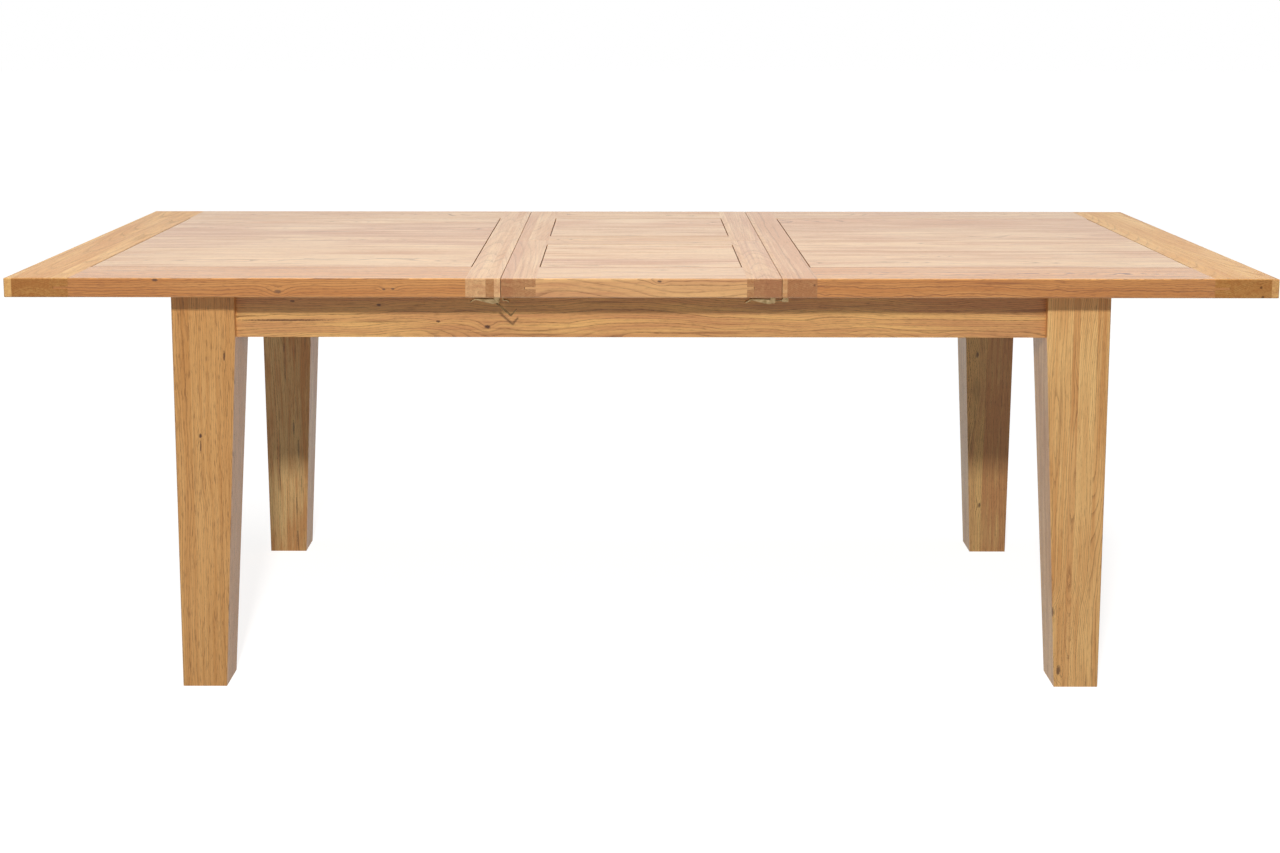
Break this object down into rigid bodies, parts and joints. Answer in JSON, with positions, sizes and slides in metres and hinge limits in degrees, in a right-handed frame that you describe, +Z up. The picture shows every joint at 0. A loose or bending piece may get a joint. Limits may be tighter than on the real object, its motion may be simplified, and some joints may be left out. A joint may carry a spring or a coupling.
{
  "type": "butterfly extension table",
  "caption": "Rectangular oak dining table on tapered square legs, with framed tops that slide apart and a leaf that folds like a book and swings down into a well.",
  "frame": {"origin": "on the floor under the middle of the table, drawn out", "axes": "+X along the table's length, +Y from the pictured front edge to the back, +Z up"},
  "size_m": [2.27, 1.04, 0.78],
  "materials": {
    "oak_top": "satin oiled pale oak",
    "oak_frame": "satin oiled golden oak",
    "oak_inside": "plain planed oak",
    "khaki_steel": "khaki passivated pressed steel",
    "plain_steel": "bright zinc plated steel"
  },
  "bodies": {
    "base": {"front_left_leg": "oak_frame", "front_right_leg": "oak_frame", "back_left_leg": "oak_frame", "back_right_leg": "oak_frame", "front_apron": "oak_frame", "back_apron": "oak_frame", "left_apron": "oak_frame", "right_apron": "oak_frame", "corner_blocks": "oak_inside", "leg_bolts": "plain_steel", "guide_rails": "oak_inside", "well_bearers": "oak_inside", "pivot_plates": "plain_steel", "base_screws": "plain_steel"},
    "left_top": {"left_top_end_stile": "oak_top", "left_top_seam_stile": "oak_top", "left_top_front_rail": "oak_top", "left_top_back_rail": "oak_top", "left_top_panel": "oak_top", "left_top_runners": "oak_inside", "left_top_screws": "plain_steel", "left_top_latch_plates": "khaki_steel"},
    "right_top": {"right_top_end_stile": "oak_top", "right_top_seam_stile": "oak_top", "right_top_front_rail": "oak_top", "right_top_back_rail": "oak_top", "right_top_panel": "oak_top", "right_top_runners": "oak_inside", "right_top_screws": "plain_steel", "right_top_link_brackets": "khaki_steel"},
    "back_leaf": {"back_leaf_left_stile": "oak_top", "back_leaf_right_stile": "oak_top", "back_leaf_outer_rail": "oak_top", "back_leaf_middle_rail": "oak_top", "back_leaf_panel": "oak_top", "back_leaf_hinge_cups": "plain_steel", "back_leaf_brackets": "plain_steel", "back_leaf_keeper": "khaki_steel", "back_leaf_latch_plate": "khaki_steel", "back_leaf_screws": "plain_steel"},
    "front_leaf": {"front_leaf_left_stile": "oak_top", "front_leaf_right_stile": "oak_top", "front_leaf_outer_rail": "oak_top", "front_leaf_middle_rail": "oak_top", "front_leaf_panel": "oak_top", "front_leaf_hinge_cups": "plain_steel", "front_leaf_keeper": "khaki_steel", "front_leaf_latch_plate": "khaki_steel", "front_leaf_screws": "plain_steel"},
    "first_swing_frame": {"first_swing_frame": "plain_steel"},
    "second_swing_frame": {"second_swing_frame": "plain_steel"},
    "left_front_lever": {"left_front_lever": "khaki_steel"},
    "left_back_lever": {"left_back_lever": "khaki_steel"},
    "right_front_lever": {"right_front_lever": "khaki_steel"},
    "right_back_lever": {"right_back_lever": "khaki_steel"},
    "left_front_hook": {"left_front_hook": "khaki_steel"},
    "left_back_hook": {"left_back_hook": "khaki_steel"},
    "right_front_link": {"right_front_link": "khaki_steel"},
    "right_back_link": {"right_back_link": "khaki_steel"}
  },
  "joints": [
    {"name": "left_top_slide", "type": "slide", "parent": "base", "child": "left_top", "axis": [-1, 0, 0], "range_m": [0, 0.05]},
    {"name": "right_top_slide", "type": "slide", "parent": "base", "child": "right_top", "axis": [1, 0, 0], "range_m": [0, 0.05]},
    {"name": "leaf_swing", "type": "hinge", "parent": "base", "child": "first_swing_frame", "pos_m": [0, 0.02679, 0.6375], "axis": [1, 0, 0], "range_deg": [0, 132.2]},
    {"name": "back_leaf_level", "type": "hinge", "parent": "first_swing_frame", "child": "back_leaf", "pos_m": [0, 0.14, 0.733], "axis": [-1, 0, 0], "range_deg": [0, 132.2]},
    {"name": "second_swing", "type": "hinge", "parent": "base", "child": "second_swing_frame", "pos_m": [0, 0.18679, 0.6375], "axis": [1, 0, 0], "range_deg": [0, 132.2]},
    {"name": "leaf_fold", "type": "hinge", "parent": "back_leaf", "child": "front_leaf", "pos_m": [0, 0, 0.7804], "axis": [-1, 0, 0], "range_deg": [0, 180]},
    {"name": "left_front_lever_turn", "type": "hinge", "parent": "left_top", "child": "left_front_lever", "pos_m": [-0.258, -0.484, 0.734], "axis": [0, -1, 0], "range_deg": [0, 90]},
    {"name": "left_front_hook_turn", "type": "hinge", "parent": "left_front_lever", "child": "left_front_hook", "pos_m": [-0.264, -0.484, 0.733], "axis": [0, 1, 0], "range_deg": [0, 90]},
    {"name": "left_back_lever_turn", "type": "hinge", "parent": "left_top", "child": "left_back_lever", "pos_m": [-0.258, 0.484, 0.734], "axis": [0, -1, 0], "range_deg": [0, 90]},
    {"name": "left_back_hook_turn", "type": "hinge", "parent": "left_back_lever", "child": "left_back_hook", "pos_m": [-0.264, 0.484, 0.733], "axis": [0, 1, 0], "range_deg": [0, 90]},
    {"name": "right_front_lever_turn", "type": "hinge", "parent": "front_leaf", "child": "right_front_lever", "pos_m": [0.238, -0.484, 0.734], "axis": [0, -1, 0], "range_deg": [0, 90]},
    {"name": "right_back_lever_turn", "type": "hinge", "parent": "back_leaf", "child": "right_back_lever", "pos_m": [0.238, 0.484, 0.734], "axis": [0, -1, 0], "range_deg": [0, 90]},
    {"name": "right_front_link_turn", "type": "hinge", "parent": "right_top", "child": "right_front_link", "pos_m": [0.2545, -0.484, 0.7355], "axis": [0, -1, 0], "range_deg": [0, 40]},
    {"name": "right_back_link_turn", "type": "hinge", "parent": "right_top", "child": "right_back_link", "pos_m": [0.2545, 0.484, 0.7355], "axis": [0, -1, 0], "range_deg": [0, 40]}
  ],
  "couplings": [
    {"joint": "back_leaf_level", "follows": "leaf_swing", "ratio": 1},
    {"joint": "second_swing", "follows": "leaf_swing", "ratio": 1},
    {"joint": "leaf_fold", "follows": "leaf_swing", "ratio": 1.3615},
    {"joint": "left_front_hook_turn", "follows": "left_front_lever_turn", "ratio": 1},
    {"joint": "left_back_hook_turn", "follows": "left_back_lever_turn", "ratio": 1}
  ]
}
